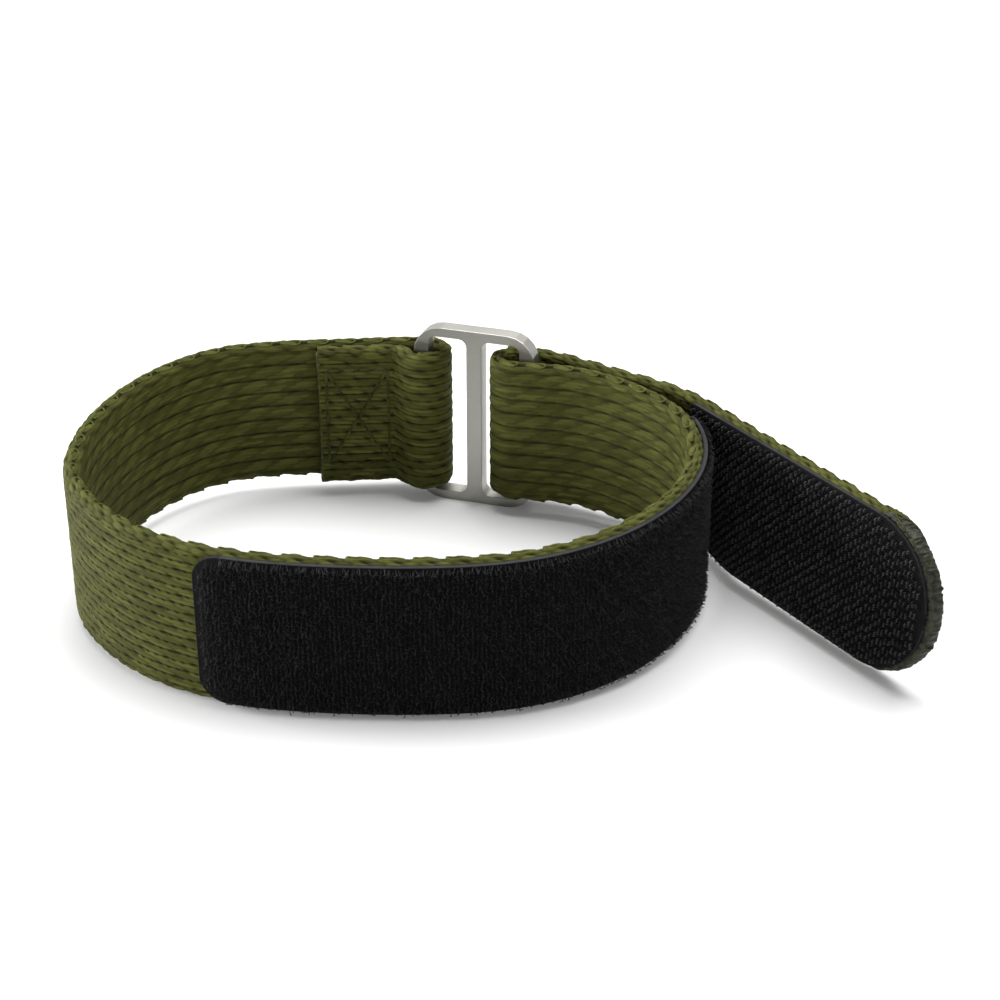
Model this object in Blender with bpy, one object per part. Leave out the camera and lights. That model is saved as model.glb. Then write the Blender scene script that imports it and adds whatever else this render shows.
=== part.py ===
"""Hook-and-loop watch strap: one woven band, a three-bar slide buckle, a loop pad and a hook pad.

The band starts at its cut end inside the loop, is sewn back round the buckle's left bar, runs round
the wrist, goes through the right slot, turns round the right bar and ends as a peeled-open tail.
The fabric pieces are cut flat, as strips, and then bent along the band's route, seen from above.
Metres, +Z up. The loop stands on its edge with the buckle at the back and the tail to the right.
"""
import math

import bmesh
import bpy
import numpy as np
from mathutils import Matrix, Vector

# Band
BAND_WIDTH = 0.0200
BAND_THICK = 0.0021
BAND_EDGE_ROUND = 0.0007
BAND_END_CORNER = 0.0011

# Buckle: a flat plate with two slots, standing on its lower rail
BUCKLE_HEIGHT = 0.0252
BUCKLE_WIDTH = 0.0169
BUCKLE_THICK = 0.0023
BUCKLE_RAIL = 0.0013
BUCKLE_BAR = 0.0021
BUCKLE_CORNER = 0.0038
SLOT_CORNER = 0.0011
BUCKLE_EDGE_ROUND = 0.0005
BUCKLE_YAW = math.radians(-18.0)

# Loop, measured on the middle of the band's thickness
LOOP_SPAN = 0.0753
LOOP_DEPTH = 0.0582
LOOP_LIFT_LEFT = 0.0020
LOOP_LIFT_RIGHT = 0.0029
TURNBACK_LENGTH = 0.0146
TURNBACK_EASE = 0.0045
TURNBACK_DIP = math.radians(-50.0)

# Right bar, run and tail
WRAP_SLACK = 0.0016
RUN_ENTRY_TURN = math.radians(6.0)
RUN_LEG = 0.0045
SWING_LEG = 0.0025
TAIL_ROOT_LENGTH = 0.0195
TAIL_END_LENGTH = 0.0484
TAIL_ROOT_HEADING = math.radians(-31.3)
TAIL_END_HEADING = math.radians(-56.8)
TAIL_START_LIFT = 0.0023
TAIL_BEND_LIFT = 0.0015
TAIL_TIP_LIFT = 0.0007
TAIL_LEAN = math.radians(4.5)
LEAN_START = 0.0055
LEAN_END = 0.0150

# Pads
LOOP_PAD_LENGTH = 0.0822
LOOP_PAD_WIDTH = 0.0192
LOOP_PAD_THICK = 0.0012
LOOP_PAD_CORNER = 0.0034
LOOP_PAD_END_DISTANCE = 0.0186
HOOK_PAD_WIDTH = 0.0190
HOOK_PAD_THICK = 0.0009
HOOK_PAD_START = 0.0028
HOOK_PAD_CORNER = 0.0008
HOOK_PAD_RIM = 0.0009
PAD_EDGE_ROUND = 0.0003

# Seam of the turnback: a box with a cross in it, sewn with one thread on each face
SEAM_BOX_LENGTH = 0.0088
SEAM_BOX_WIDTH = 0.0145
SEAM_START = 0.0009
THREAD_WIDTH = 0.0006
THREAD_HEIGHT = 0.0003

# Clearances
TOUCH_GAP = 0.0003
PAD_GAP = 0.0002
THREAD_GAP = 0.0001
RUN_END_GAP = 0.0008

# Fineness of the facets
STATION_STEP = 0.0026
LEAN_STEP = 0.0013
LEAN_ROWS = 5
ARC_STEP = math.radians(15.0)
CORNER_STEP = math.radians(18.0)
EASE_STEPS = 7
ROUND_SEGMENTS = 2
SHARP_ANGLE = math.radians(35.0)

# What counts as the same point, as flat, as a face of a plate and as its wall
DOUBLED_POINT = 0.00002
WELD_DISTANCE = 0.00001
FLAT_ANGLE = math.radians(1.0)
FACE_NORMAL = 0.9
WALL_NORMAL = 0.1

# The loop's route from above, from the left bar round to the right run: shares of the loop's
# span (to the right) and depth (away from the viewer), counted from the buckle's middle
LOOP_POINT_SHARES = (
    (-0.216, 0.075), (-0.345, 0.060), (-0.458, 0.020), (-0.549, -0.080), (-0.618, -0.245),
    (-0.646, -0.425), (-0.637, -0.560), (-0.585, -0.690), (-0.490, -0.808), (-0.383, -0.873),
    (-0.242, -0.907), (-0.074, -0.915), (0.068, -0.893), (0.188, -0.824), (0.290, -0.698),
    (0.346, -0.552), (0.358, -0.417), (0.333, -0.291), (0.281, -0.204), (0.228, -0.146),
)

HALF_BAND = BAND_THICK / 2
BAR_OFFSET = (BUCKLE_WIDTH - BUCKLE_BAR) / 2
SLOT_WIDTH = (BUCKLE_WIDTH - 3 * BUCKLE_BAR) / 2
SLOT_HEIGHT = BUCKLE_HEIGHT - 2 * BUCKLE_RAIL
BAR_REACH = BUCKLE_EDGE_ROUND + math.hypot(
    BUCKLE_BAR / 2 - BUCKLE_EDGE_ROUND, BUCKLE_THICK / 2 - BUCKLE_EDGE_ROUND)
WRAP_RADIUS = BAR_REACH + TOUCH_GAP + HALF_BAND
LAYER_OFFSET = BAND_THICK + TOUCH_GAP
# A bent joint in the band: the moving piece starts with a rounded end on the axis
HINGE_REACH = BAND_EDGE_ROUND + math.sqrt(2) * (HALF_BAND - BAND_EDGE_ROUND)
HINGE_SETBACK = HINGE_REACH + TOUCH_GAP


def heading_vector(heading):
    """Unit vector in plan for a heading, anticlockwise from +X."""
    return np.array((math.cos(heading), math.sin(heading)))


def left_of(direction):
    """The direction a quarter turn anticlockwise."""
    return np.array((-direction[1], direction[0]))


def clear_scene():
    """Remove what the file holds, so that the model starts empty."""
    for old in list(bpy.data.objects):
        bpy.data.objects.remove(old, do_unlink=True)


def make_collection(name):
    """A collection of this name, linked to the scene."""
    collection = bpy.data.collections.new(name)
    bpy.context.scene.collection.children.link(collection)
    return collection


def make_material(name, colour, roughness, metallic):
    """A Principled material with a plain colour."""
    material = bpy.data.materials.new(name)
    material.use_nodes = True
    shader = material.node_tree.nodes["Principled BSDF"]
    shader.inputs["Base Color"].default_value = (*colour, 1.0)
    shader.inputs["Roughness"].default_value = roughness
    shader.inputs["Metallic"].default_value = metallic
    return material


# The route of the band

class Route:
    """A line in plan with a normal at each station; the normal points to the line's right.

    The lift is the height of the band's lower edge there. The lean turns the band about its upper
    edge, which stays on the line, so that the lower edge moves to the line's right.
    """

    def __init__(self, points, directions, lifts, leans=None):
        self.points = np.array(points)
        self.normals = np.array([-left_of(direction) for direction in directions])
        self.lifts = np.array(lifts)
        self.leans = np.zeros(len(points)) if leans is None else np.array(leans)
        steps = np.linalg.norm(np.diff(self.points, axis=0), axis=1)
        self.stations = np.concatenate(([0.0], np.cumsum(steps)))
        self.length = self.stations[-1]

    def blend(self, rows, along):
        """The value of a table of station rows at a distance along the route."""
        table = rows if rows.ndim > 1 else rows[:, None]
        values = [np.interp(along, self.stations, column) for column in table.T]
        return np.array(values)

    def place(self, along, height, outward):
        """The point at a distance along the route, a height and an offset from its middle."""
        overrun = along - min(max(along, 0.0), self.length)
        centre = self.blend(self.points, along)
        normal = self.blend(self.normals, along)
        direction = left_of(normal)
        lean = self.blend(self.leans, along)[0]
        aside = outward * math.cos(lean) + (BAND_WIDTH - height) * math.sin(lean)
        spot = centre + normal * aside + direction * overrun
        up = height * math.cos(lean) + outward * math.sin(lean)
        return Vector((spot[0], spot[1], self.blend(self.lifts, along)[0] + up))


def smooth_points(points, start_direction, end_direction, step):
    """Points and directions on a clamped cubic spline through the given points."""
    knots = np.array(points)
    chords = np.linalg.norm(np.diff(knots, axis=0), axis=1)
    count = len(knots)
    matrix = np.zeros((count, count))
    right_side = np.zeros((count, 2))
    matrix[0, 0] = matrix[-1, -1] = 1.0
    right_side[0] = start_direction
    right_side[-1] = end_direction
    for k in range(1, count - 1):
        before, after = chords[k - 1], chords[k]
        matrix[k, k - 1:k + 2] = (after, 2 * (before + after), before)
        slope_before = (knots[k] - knots[k - 1]) / before
        slope_after = (knots[k + 1] - knots[k]) / after
        right_side[k] = 3 * (after * slope_before + before * slope_after)
    slopes = np.linalg.solve(matrix, right_side)
    line, directions = [], []
    for k in range(count - 1):
        chord = chords[k]
        parts = max(1, math.ceil(chord / step))
        first = 0 if k == 0 else 1
        for part in range(first, parts + 1):
            t = part / parts
            position = ((1 + 2 * t) * (1 - t) ** 2 * knots[k] + t * (1 - t) ** 2 * chord * slopes[k]
                        + t * t * (3 - 2 * t) * knots[k + 1] + t * t * (t - 1) * chord * slopes[k + 1])
            slope = (6 * t * (t - 1) * (knots[k] - knots[k + 1]) / chord
                     + (1 - t) * (1 - 3 * t) * slopes[k] + t * (3 * t - 2) * slopes[k + 1])
            line.append(position)
            directions.append(slope / np.linalg.norm(slope))
    return line, directions


def arc_points(centre, radius, start_heading, turn):
    """Points and directions of an arc about a centre, from one heading through a turn."""
    parts = math.ceil(abs(turn) / ARC_STEP)
    side = math.copysign(1, turn)
    line, directions = [], []
    for k in range(parts + 1):
        direction = heading_vector(start_heading + turn * k / parts)
        line.append(centre - side * radius * left_of(direction))
        directions.append(direction)
    return line, directions


def plan_layout():
    """Where the bars, the joints and the end of the right run lie in plan."""
    across = heading_vector(BUCKLE_YAW)
    away = left_of(across)
    layout = {
        "across": across,
        "left_bar": -BAR_OFFSET * across,
        "right_bar": BAR_OFFSET * across,
    }
    layout["wrap_centre"] = layout["right_bar"] - WRAP_SLACK * across
    run_heading = BUCKLE_YAW + RUN_ENTRY_TURN + math.pi
    run_direction = heading_vector(run_heading)
    layout["run_heading"] = run_heading
    leg_foot = layout["wrap_centre"] + WRAP_RADIUS * left_of(run_direction)
    layout["run_end"] = leg_foot - (WRAP_SLACK + RUN_LEG) * run_direction
    layout["swing"] = layout["right_bar"] + SWING_LEG * across + WRAP_RADIUS * away
    layout["bend"] = layout["swing"] + TAIL_ROOT_LENGTH * heading_vector(TAIL_ROOT_HEADING)
    return layout


def loop_lift(spot, layout):
    """Height of the band's lower edge: nought at the front, rising to each of the outer bars."""
    front = LOOP_DEPTH * min(share[1] for share in LOOP_POINT_SHARES)
    back = layout["left_bar"][1]
    lift = LOOP_LIFT_LEFT if spot[0] < 0 else LOOP_LIFT_RIGHT
    return lift * min(max((spot[1] - front) / (back - front), 0.0), 1.0)


def loop_route(layout):
    """The band from its cut end, round the left bar and the wrist, to the end of the right run."""
    wrap, wrap_directions = arc_points(
        layout["left_bar"], WRAP_RADIUS, TURNBACK_DIP, math.pi - TURNBACK_DIP)
    knots = [wrap[-1]]
    for across_share, away_share in LOOP_POINT_SHARES:
        knots.append(np.array((LOOP_SPAN * across_share, LOOP_DEPTH * away_share)))
    knots.append(layout["run_end"])
    outer, outer_directions = smooth_points(
        knots, wrap_directions[-1], heading_vector(layout["run_heading"]), STATION_STEP)

    # The inner layer follows the outer one, one layer further in, from its cut end to the dip
    layer = Route(outer, outer_directions, [0.0] * len(outer))
    straight = TURNBACK_LENGTH - TURNBACK_EASE
    parts = math.ceil(straight / STATION_STEP)
    inner, inner_directions = [], []
    for k in range(parts + 1):
        spot = layer.place(TURNBACK_LENGTH - straight * k / parts, 0.0, -LAYER_OFFSET)
        normal = layer.blend(layer.normals, TURNBACK_LENGTH - straight * k / parts)
        inner.append(np.array(spot[:2]))
        inner_directions.append(-left_of(normal))
    ease, ease_directions = smooth_points(
        [inner[-1], wrap[0]], inner_directions[-1], wrap_directions[0],
        np.linalg.norm(inner[-1] - wrap[0]) / EASE_STEPS)

    line = inner + ease[1:] + wrap[1:] + outer[1:]
    directions = inner_directions + ease_directions[1:] + wrap_directions[1:] + outer_directions[1:]
    route = Route(line, directions, [loop_lift(spot, layout) for spot in line])
    turnback = Route(line[:len(inner)], directions[:len(inner)], route.lifts[:len(inner)])
    return route, turnback


def wrap_route(layout):
    """The band on the buckle: the leg before the right bar, the turn round it and the leg behind."""
    run_direction = heading_vector(layout["run_heading"])
    turn = BUCKLE_YAW - layout["run_heading"]
    arc, directions = arc_points(layout["wrap_centre"], WRAP_RADIUS, layout["run_heading"], turn)
    start = layout["run_end"] + RUN_END_GAP * run_direction
    end = layout["swing"] - HINGE_SETBACK * layout["across"]
    line = [start] + arc + [end]
    directions = [directions[0]] + directions + [directions[-1]]
    lifts = np.linspace(loop_lift(start, layout), TAIL_START_LIFT, len(line))
    return Route(line, directions, lifts)


def tail_root_route(layout):
    """The first stretch of the tail: upright and straight, from the swing joint to the bend."""
    direction = heading_vector(TAIL_ROOT_HEADING)
    lifts = (TAIL_START_LIFT, TAIL_BEND_LIFT)
    return Route((layout["swing"], layout["bend"]), (direction, direction), lifts)


def tail_end_route(layout):
    """The second stretch, from the bend to the tip, which comes to lean once it is past the loop."""
    direction = heading_vector(TAIL_END_HEADING)
    turning = math.ceil((LEAN_END - LEAN_START) / LEAN_STEP)
    distances = np.concatenate((
        [0.0], np.linspace(LEAN_START, LEAN_END, turning + 1), [TAIL_END_LENGTH]))
    shares = np.clip((distances - LEAN_START) / (LEAN_END - LEAN_START), 0.0, 1.0)
    leans = TAIL_LEAN * shares ** 2 * (3 - 2 * shares)
    line = layout["bend"] + distances[:, None] * direction
    lifts = np.interp(distances, (0.0, TAIL_END_LENGTH), (TAIL_BEND_LIFT, TAIL_TIP_LIFT))
    return Route(line, [direction] * len(line), lifts, leans)


# Flat cut pieces

def rounded_outline(start, end, low, high, start_radius, end_radius):
    """Corner points of a strip from start to end and low to high, with rounded corners."""
    corners = (
        (start, low, start_radius, math.pi), (end, low, end_radius, 1.5 * math.pi),
        (end, high, end_radius, 0.0), (start, high, start_radius, 0.5 * math.pi),
    )
    outline = []
    for x, y, radius, first_angle in corners:
        centre_x = x + radius if x == start else x - radius
        centre_y = y + radius if y == low else y - radius
        parts = math.ceil(0.5 * math.pi / CORNER_STEP)
        for k in range(parts + 1):
            angle = first_angle + 0.5 * math.pi * k / parts
            outline.append((centre_x + radius * math.cos(angle), centre_y + radius * math.sin(angle)))
    return outline


def add_outline(curve, outline):
    """Add a closed straight-sided spline to a flat curve, leaving out doubled points."""
    kept = []
    for point in outline:
        if not kept or math.dist(point, kept[-1]) > DOUBLED_POINT:
            kept.append(point)
    if math.dist(kept[0], kept[-1]) <= DOUBLED_POINT:
        kept.pop()
    spline = curve.splines.new("POLY")
    spline.points.add(len(kept) - 1)
    for point, (x, y) in zip(spline.points, kept):
        point.co = (x, y, 0.0, 1.0)
    spline.use_cyclic_u = True


def cut_plate(name, outlines, thick):
    """A flat plate from closed outlines, centred on its thickness, as a mesh in a bmesh."""
    curve = bpy.data.curves.new(name + "_outline", "CURVE")
    curve.dimensions = "2D"
    curve.fill_mode = "BOTH"
    curve.extrude = thick / 2
    for outline in outlines:
        add_outline(curve, outline)
    holder = bpy.data.objects.new(name + "_outline", curve)
    bpy.context.scene.collection.objects.link(holder)
    bpy.context.view_layer.update()
    evaluated = holder.evaluated_get(bpy.context.evaluated_depsgraph_get())
    mesh = bpy.data.meshes.new_from_object(evaluated)
    bpy.data.objects.remove(holder, do_unlink=True)
    plate = bmesh.new()
    plate.from_mesh(mesh)
    bpy.data.meshes.remove(mesh)
    bmesh.ops.remove_doubles(plate, verts=plate.verts, dist=WELD_DISTANCE)
    bmesh.ops.dissolve_limit(
        plate, angle_limit=FLAT_ANGLE, verts=plate.verts, edges=plate.edges)
    bmesh.ops.recalc_face_normals(plate, faces=plate.faces)
    return plate


def round_rims(plate, radius):
    """Round the edges between the plate's two faces and its walls."""
    rims = [edge for edge in plate.edges if len(edge.link_faces) == 2
            and any(abs(face.normal.z) > FACE_NORMAL for face in edge.link_faces)
            and any(abs(face.normal.z) < WALL_NORMAL for face in edge.link_faces)]
    bmesh.ops.bevel(plate, geom=rims, offset=radius, offset_type="OFFSET",
                    segments=ROUND_SEGMENTS, profile=0.5, affect="EDGES", clamp_overlap=True)


def bend_strip(plate, route, start, outward):
    """Slice a flat strip at the route's stations and lay it along the route.

    The strip's x is the distance from start, its y the height and its z the way outward.
    """
    low = min(vertex.co.x for vertex in plate.verts) + start
    high = max(vertex.co.x for vertex in plate.verts) + start
    for station in route.stations:
        if low + DOUBLED_POINT < station < high - DOUBLED_POINT:
            everything = list(plate.verts) + list(plate.edges) + list(plate.faces)
            bmesh.ops.bisect_plane(
                plate, geom=everything, dist=WELD_DISTANCE,
                plane_co=(station - start, 0.0, 0.0), plane_no=(1.0, 0.0, 0.0))
    if route.leans.any():
        for row in range(1, LEAN_ROWS):
            everything = list(plate.verts) + list(plate.edges) + list(plate.faces)
            bmesh.ops.bisect_plane(
                plate, geom=everything, dist=WELD_DISTANCE,
                plane_co=(0.0, BAND_WIDTH * row / LEAN_ROWS, 0.0), plane_no=(0.0, 1.0, 0.0))
    for vertex in plate.verts:
        vertex.co = route.place(vertex.co.x + start, vertex.co.y, vertex.co.z + outward)


def pivot_spot(pivot):
    """Where a pivot stands before the finished strap is moved to its origin."""
    spot = Vector((0.0, 0.0, 0.0))
    while pivot is not None:
        spot += pivot.location
        pivot = pivot.parent
    return spot


def finish_object(name, plate, pivot, material, collection):
    """Turn a bmesh into a named object whose origin is its pivot."""
    mesh = bpy.data.meshes.new(name)
    bmesh.ops.translate(plate, verts=plate.verts, vec=-pivot_spot(pivot))
    plate.to_mesh(mesh)
    plate.free()
    mesh.shade_smooth()
    mesh.set_sharp_from_angle(angle=SHARP_ANGLE)
    mesh.materials.append(material)
    piece = bpy.data.objects.new(name, mesh)
    collection.objects.link(piece)
    piece.parent = pivot
    return piece


# Sub-parts

def make_band_piece(name, route, start, end, tip_radius, pivot, material, collection):
    """A length of band laid on its route, with rounded long edges."""
    outline = rounded_outline(0.0, end - start, 0.0, BAND_WIDTH, BAND_END_CORNER, tip_radius)
    strip = cut_plate(name, [outline], BAND_THICK)
    round_rims(strip, BAND_EDGE_ROUND)
    bend_strip(strip, route, start, 0.0)
    return finish_object(name, strip, pivot, material, collection)


def make_pad(name, route, start, end, width, thick, radii, side, pivot, material, collection):
    """A pad laid on one face of the band: side 1 is the route's right, -1 its left."""
    low = (BAND_WIDTH - width) / 2
    outline = rounded_outline(0.0, end - start, low, low + width, radii[0], radii[1])
    strip = cut_plate(name, [outline], thick)
    round_rims(strip, PAD_EDGE_ROUND)
    bend_strip(strip, route, start, side * (HALF_BAND + PAD_GAP + thick / 2))
    return finish_object(name, strip, pivot, material, collection)


def make_buckle(name, layout, pivot, material, collection):
    """The slide: a rounded plate with two slots, stood up and turned in plan."""
    half_width, half_height = BUCKLE_WIDTH / 2, BUCKLE_HEIGHT / 2
    outlines = [rounded_outline(
        -half_width, half_width, -half_height, half_height, BUCKLE_CORNER, BUCKLE_CORNER)]
    for side in (-1, 1):
        middle = side * (BUCKLE_BAR + SLOT_WIDTH) / 2
        outlines.append(rounded_outline(
            middle - SLOT_WIDTH / 2, middle + SLOT_WIDTH / 2,
            -SLOT_HEIGHT / 2, SLOT_HEIGHT / 2, SLOT_CORNER, SLOT_CORNER))
    plate = cut_plate(name, outlines, BUCKLE_THICK)
    round_rims(plate, BUCKLE_EDGE_ROUND)
    stand = (Matrix.Translation((0.0, 0.0, half_height)) @ Matrix.Rotation(BUCKLE_YAW, 4, "Z")
             @ Matrix.Rotation(math.pi / 2, 4, "X"))
    bmesh.ops.transform(plate, matrix=stand, verts=plate.verts)
    return finish_object(name, plate, pivot, material, collection)


def seam_outlines():
    """The sewn box and cross in the strip's plane: its border and the four triangles left open."""
    low = (BAND_WIDTH - SEAM_BOX_WIDTH) / 2
    half_length, half_width = SEAM_BOX_LENGTH / 2, SEAM_BOX_WIDTH / 2
    middle_x, middle_y = SEAM_START + half_length, low + half_width
    slope = half_width / half_length
    drop = THREAD_WIDTH / 2 * math.hypot(1, slope)
    inner_x, inner_y = half_length - THREAD_WIDTH, half_width - THREAD_WIDTH
    reach_x = (inner_y - drop) / slope
    reach_y = inner_x * slope - drop
    outlines = [rounded_outline(SEAM_START, SEAM_START + SEAM_BOX_LENGTH, low,
                                low + SEAM_BOX_WIDTH, THREAD_WIDTH, THREAD_WIDTH)]
    for side in (-1, 1):
        outlines.append([(middle_x, middle_y + side * drop),
                         (middle_x + side * reach_x, middle_y + side * inner_y),
                         (middle_x - side * reach_x, middle_y + side * inner_y)])
        outlines.append([(middle_x + side * drop / slope, middle_y),
                         (middle_x + side * inner_x, middle_y + side * reach_y),
                         (middle_x + side * inner_x, middle_y - side * reach_y)])
    return outlines


def make_thread(name, turnback, outward, pivot, material, collection):
    """One of the seam's two threads, lying on a face of the turnback as a box with a cross."""
    thread = cut_plate(name, seam_outlines(), THREAD_HEIGHT)
    bend_strip(thread, turnback, 0.0, outward)
    return finish_object(name, thread, pivot, material, collection)


def make_pivot(name, spot, parent, collection):
    """An empty on a joint's axis, which carries what turns about it."""
    pivot = bpy.data.objects.new(name, None)
    pivot.empty_display_size = BAND_THICK
    collection.objects.link(pivot)
    pivot.location = Vector((spot[0], spot[1], 0.0)) - pivot_spot(parent)
    pivot.parent = parent
    return pivot


def centre_on_floor(root, pieces):
    """Move the strap so that its origin is the middle of its footprint, at floor level."""
    bpy.context.view_layer.update()
    corners = np.array([piece.matrix_world @ vertex.co
                        for piece in pieces for vertex in piece.data.vertices])
    low, high = corners.min(axis=0), corners.max(axis=0)
    middle = (low + high) / 2
    root.location = (-middle[0], -middle[1], -low[2])
    bpy.context.view_layer.update()


def build_strap():
    """Make every sub-part of the strap and place it on its pivot."""
    clear_scene()
    collection = make_collection("watch_strap")
    webbing = make_material("olive_webbing", (0.13, 0.15, 0.035), 0.85, 0.0)
    loop_pile = make_material("black_loop_pile", (0.012, 0.012, 0.013), 0.95, 0.0)
    hook_tape = make_material("black_hook_tape", (0.014, 0.014, 0.015), 0.55, 0.0)
    steel = make_material("matte_steel", (0.52, 0.50, 0.47), 0.38, 1.0)
    thread = make_material("olive_thread", (0.10, 0.115, 0.028), 0.80, 0.0)

    layout = plan_layout()
    loop, turnback = loop_route(layout)
    wrap = wrap_route(layout)
    tail_root = tail_root_route(layout)
    tail_end = tail_end_route(layout)

    root = make_pivot("strap_root", (0.0, 0.0), None, collection)
    buckle_axis = make_pivot("buckle_axis", layout["left_bar"], root, collection)
    swing_axis = make_pivot("tail_swing_axis", layout["swing"], buckle_axis, collection)
    bend_axis = make_pivot("tail_bend_axis", layout["bend"], swing_axis, collection)

    pad_end = loop.length - LOOP_PAD_END_DISTANCE
    hook_end_corner = HOOK_PAD_WIDTH / 2
    thread_offset = HALF_BAND + THREAD_GAP + THREAD_HEIGHT / 2
    pieces = [
        make_band_piece("band_loop", loop, 0.0, loop.length, BAND_END_CORNER,
                        root, webbing, collection),
        make_pad("loop_pad", loop, pad_end - LOOP_PAD_LENGTH, pad_end, LOOP_PAD_WIDTH,
                 LOOP_PAD_THICK, (LOOP_PAD_CORNER, LOOP_PAD_CORNER), 1,
                 root, loop_pile, collection),
        make_thread("needle_thread", turnback, thread_offset, root, thread, collection),
        make_thread("bobbin_thread", turnback, -LAYER_OFFSET - thread_offset,
                    root, thread, collection),
        make_buckle("buckle_frame", layout, buckle_axis, steel, collection),
        make_band_piece("band_bar_wrap", wrap, 0.0, wrap.length, BAND_END_CORNER,
                        buckle_axis, webbing, collection),
        make_band_piece("band_tail_root", tail_root, -HALF_BAND,
                        TAIL_ROOT_LENGTH - HINGE_SETBACK, BAND_END_CORNER,
                        swing_axis, webbing, collection),
        make_band_piece("band_tail_end", tail_end, -HALF_BAND, TAIL_END_LENGTH,
                        BAND_WIDTH / 2, bend_axis, webbing, collection),
        make_pad("hook_pad", tail_end, HOOK_PAD_START, TAIL_END_LENGTH - HOOK_PAD_RIM,
                 HOOK_PAD_WIDTH, HOOK_PAD_THICK, (HOOK_PAD_CORNER, hook_end_corner), 1,
                 bend_axis, hook_tape, collection),
    ]
    centre_on_floor(root, pieces)


build_strap()
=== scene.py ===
"""Looks of the hook-and-loop watch strap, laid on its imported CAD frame. Metres, +Z up.

The band's route is the part's own, with finer stations, and every soft piece is woven along it:
coordinates along the route, up from the band's lower edge and outward from its middle.
"""
import math

import bpy
import numpy as np
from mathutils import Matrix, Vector


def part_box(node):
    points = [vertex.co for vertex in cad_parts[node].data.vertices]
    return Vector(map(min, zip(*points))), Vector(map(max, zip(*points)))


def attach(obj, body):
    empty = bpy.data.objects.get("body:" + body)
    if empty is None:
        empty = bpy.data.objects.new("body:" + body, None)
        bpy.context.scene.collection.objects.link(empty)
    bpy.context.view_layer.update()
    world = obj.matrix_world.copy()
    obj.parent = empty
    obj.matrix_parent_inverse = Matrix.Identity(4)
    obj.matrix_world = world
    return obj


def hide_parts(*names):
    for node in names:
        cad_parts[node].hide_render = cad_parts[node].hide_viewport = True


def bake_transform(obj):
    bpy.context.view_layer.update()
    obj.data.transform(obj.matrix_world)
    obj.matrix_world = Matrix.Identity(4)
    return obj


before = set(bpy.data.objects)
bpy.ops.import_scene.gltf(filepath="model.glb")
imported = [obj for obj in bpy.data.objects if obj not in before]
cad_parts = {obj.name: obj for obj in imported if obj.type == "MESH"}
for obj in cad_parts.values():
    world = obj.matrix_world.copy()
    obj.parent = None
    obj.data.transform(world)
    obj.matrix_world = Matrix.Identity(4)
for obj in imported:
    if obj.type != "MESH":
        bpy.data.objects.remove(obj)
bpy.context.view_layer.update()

MM = 0.001
rng = np.random.default_rng(7)

# The band, the buckle and the route, as in the part's source
BAND_WIDTH = 20.0 * MM
BAND_THICK = 2.1 * MM
BUCKLE_WIDTH = 16.9 * MM
BUCKLE_THICK = 2.3 * MM
BUCKLE_BAR = 2.1 * MM
BUCKLE_EDGE_ROUND = 0.5 * MM
BUCKLE_YAW = math.radians(-18.0)
LOOP_SPAN = 75.3 * MM
LOOP_DEPTH = 58.2 * MM
LOOP_LIFT_LEFT = 2.0 * MM
LOOP_LIFT_RIGHT = 2.9 * MM
TURNBACK_LENGTH = 14.6 * MM
TURNBACK_EASE = 4.5 * MM
TURNBACK_DIP = math.radians(-50.0)
WRAP_SLACK = 1.6 * MM
RUN_ENTRY_TURN = math.radians(6.0)
RUN_LEG = 4.5 * MM
SWING_LEG = 2.5 * MM
TAIL_ROOT_LENGTH = 19.5 * MM
TAIL_END_LENGTH = 48.4 * MM
TAIL_ROOT_HEADING = math.radians(-31.3)
TAIL_END_HEADING = math.radians(-56.8)
TAIL_START_LIFT = 2.3 * MM
TAIL_BEND_LIFT = 1.5 * MM
TAIL_TIP_LIFT = 0.7 * MM
TAIL_LEAN = math.radians(4.5)
LEAN_START = 5.5 * MM
LEAN_END = 15.0 * MM
TOUCH_GAP = 0.3 * MM
LOOP_PAD_LENGTH = 82.2 * MM
LOOP_PAD_END_DISTANCE = 18.6 * MM
PAD_WIDTH = 19.2 * MM
HOOK_PAD_START = 2.8 * MM
HOOK_PAD_RIM = 0.9 * MM
LOOP_POINT_SHARES = (
    (-0.216, 0.075), (-0.345, 0.060), (-0.458, 0.020), (-0.549, -0.080), (-0.618, -0.245),
    (-0.646, -0.425), (-0.637, -0.560), (-0.585, -0.690), (-0.490, -0.808), (-0.383, -0.873),
    (-0.242, -0.907), (-0.074, -0.915), (0.068, -0.893), (0.188, -0.824), (0.290, -0.698),
    (0.346, -0.552), (0.358, -0.417), (0.333, -0.291), (0.281, -0.204), (0.228, -0.146),
)
HALF_BAND = BAND_THICK / 2
BAR_OFFSET = (BUCKLE_WIDTH - BUCKLE_BAR) / 2
WRAP_RADIUS = (BUCKLE_EDGE_ROUND + math.hypot(BUCKLE_BAR / 2 - BUCKLE_EDGE_ROUND,
                                              BUCKLE_THICK / 2 - BUCKLE_EDGE_ROUND)
               + TOUCH_GAP + HALF_BAND)
LAYER_OFFSET = BAND_THICK + TOUCH_GAP

# Fineness of the route
FINE_STEP = 0.5 * MM
ARC_STEP = math.radians(6.0)
SWING_EASE = 4.0 * MM
BEND_EASE = 6.0 * MM


def heading_vector(angle):
    """Unit vector in plan for a heading, anticlockwise from +X."""
    return np.array((math.cos(angle), math.sin(angle)))


def left_of(direction):
    """The direction a quarter turn anticlockwise."""
    return np.array((-direction[1], direction[0]))


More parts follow.
